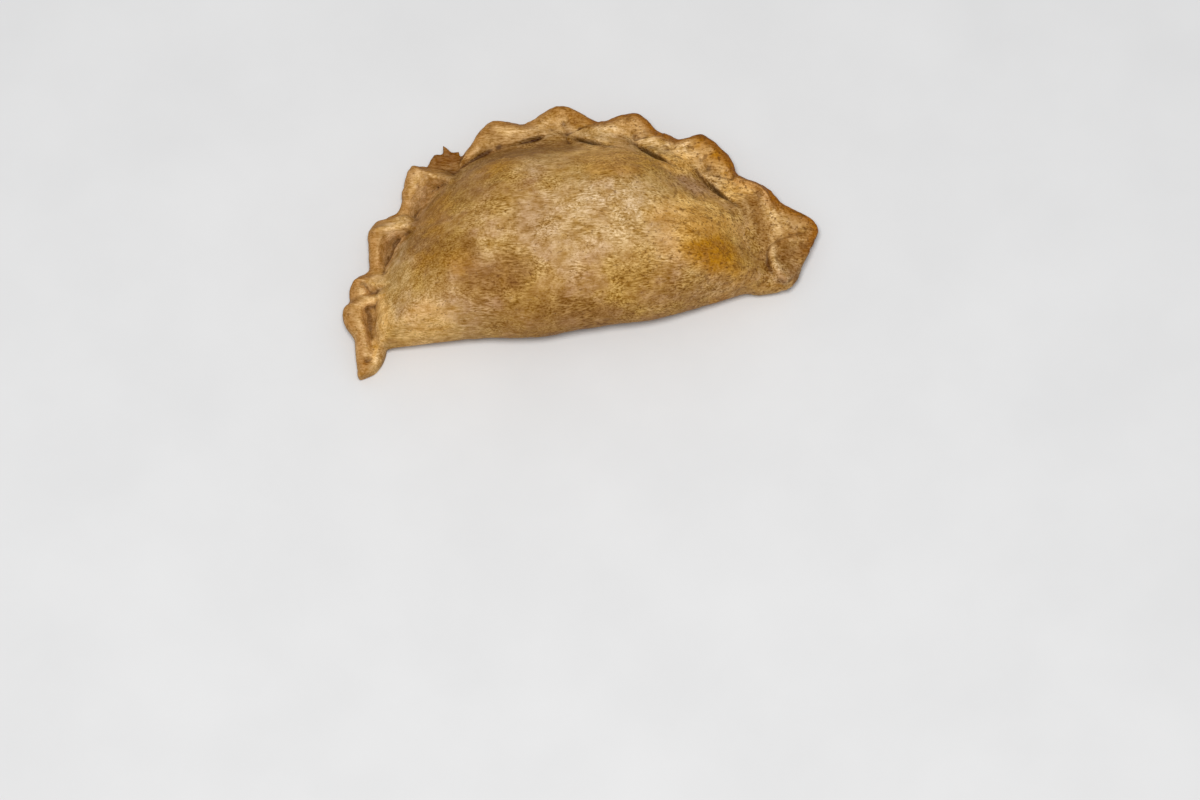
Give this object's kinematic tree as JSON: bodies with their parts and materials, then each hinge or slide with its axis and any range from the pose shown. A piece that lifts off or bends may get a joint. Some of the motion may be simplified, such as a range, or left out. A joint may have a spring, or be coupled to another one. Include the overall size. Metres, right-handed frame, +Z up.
{
  "type": "empanada",
  "caption": "Half-moon baked turnover of flecked wholemeal dough, domed over its filling and closed along the round side by a hand-made rope crimp.",
  "frame": {"origin": "middle of the bounding box in plan, on the surface that the empanada rests on", "axes": "+X along the straight fold, +Y from the fold towards the crimp, +Z up"},
  "size_m": [0.1264, 0.0666, 0.0284],
  "materials": {
    "crust": "golden-brown baked dough with fine dark bran flecks, dry and satin"
  },
  "bodies": {
    "root": {"empanada": "crust"}
  },
  "joints": []
}
